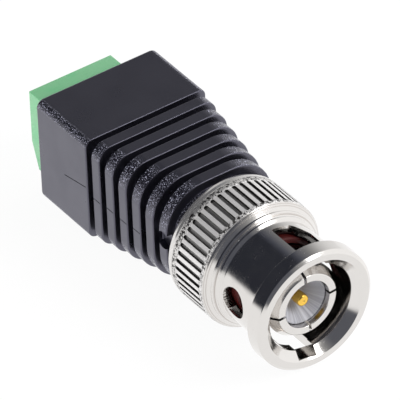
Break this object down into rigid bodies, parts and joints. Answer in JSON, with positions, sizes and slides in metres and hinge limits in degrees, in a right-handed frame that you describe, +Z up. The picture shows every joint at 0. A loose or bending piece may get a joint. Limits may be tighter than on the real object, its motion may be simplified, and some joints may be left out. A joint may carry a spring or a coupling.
{
  "type": "coaxial bayonet plug to screw terminal adapter",
  "caption": "Bayonet coaxial plug with a turning knurled nut on a ribbed black housing, and a green screw terminal block for a wire pair behind.",
  "frame": {"origin": "centre of the coupling nut's flat front face, on the plug's axis", "axes": "+X along the plug's axis, out of the mouth; +Z up, away from the terminal screws; +Y to the left"},
  "size_m": [0.0424, 0.0148, 0.0144],
  "materials": {
    "black_plastic": "satin moulded",
    "green_plastic": "satin moulded",
    "nickel_plated_brass": "bright nickel over turned brass",
    "gold_plated_brass": "bright gold",
    "tinned_brass": "bright tin",
    "zinc_plated_steel": "bright zinc",
    "spring_steel": "bright",
    "insulator_plastic": "milky, slightly see-through",
    "red_rubber": "matt",
    "red_pvc": "satin",
    "black_pvc": "satin"
  },
  "bodies": {
    "adapter": {"housing": "black_plastic", "terminal_block_body": "green_plastic", "signal_contact": "tinned_brass", "ground_contact": "tinned_brass", "plug_body": "nickel_plated_brass", "outer_contact": "nickel_plated_brass", "front_insulator": "insulator_plastic", "rear_insulator": "insulator_plastic", "centre_pin": "gold_plated_brass", "gasket": "red_rubber", "wave_washer": "spring_steel", "retaining_ring": "spring_steel", "signal_lead": "red_pvc", "ground_lead": "black_pvc"},
    "washer": {"thrust_washer": "spring_steel"},
    "nut": {"coupling_nut": "nickel_plated_brass"},
    "screw_left": {"terminal_screw_left": "zinc_plated_steel"},
    "cage_left": {"clamp_cage_left": "zinc_plated_steel"},
    "screw_right": {"terminal_screw_right": "zinc_plated_steel"},
    "cage_right": {"clamp_cage_right": "zinc_plated_steel"}
  },
  "joints": [
    {"name": "coupling_slide", "type": "slide", "parent": "adapter", "child": "washer", "axis": [1, 0, 0], "range_m": [0, 0.0006], "stiffness_N_per_m": 8000, "deforming": ["wave_washer"]},
    {"name": "coupling_turn", "type": "hinge", "parent": "washer", "child": "nut", "pos_m": [-0.0075, 0, 0], "axis": [1, 0, 0], "continuous": true},
    {"name": "screw_left_turn", "type": "hinge", "parent": "adapter", "child": "screw_left", "pos_m": [-0.0385, 0.00254, -0.004], "axis": [0, 0, 1], "range_deg": [0, 1521]},
    {"name": "cage_left_rise", "type": "slide", "parent": "adapter", "child": "cage_left", "axis": [0, 0, -1], "range_m": [0, 0.0019]},
    {"name": "screw_right_turn", "type": "hinge", "parent": "adapter", "child": "screw_right", "pos_m": [-0.0385, -0.00254, -0.004], "axis": [0, 0, 1], "range_deg": [0, 1521]},
    {"name": "cage_right_rise", "type": "slide", "parent": "adapter", "child": "cage_right", "axis": [0, 0, -1], "range_m": [0, 0.0019]}
  ],
  "couplings": [
    {"joint": "screw_left_turn", "follows": "cage_left_rise", "rad_per_m": 13963},
    {"joint": "screw_right_turn", "follows": "cage_right_rise", "rad_per_m": 13963}
  ]
}
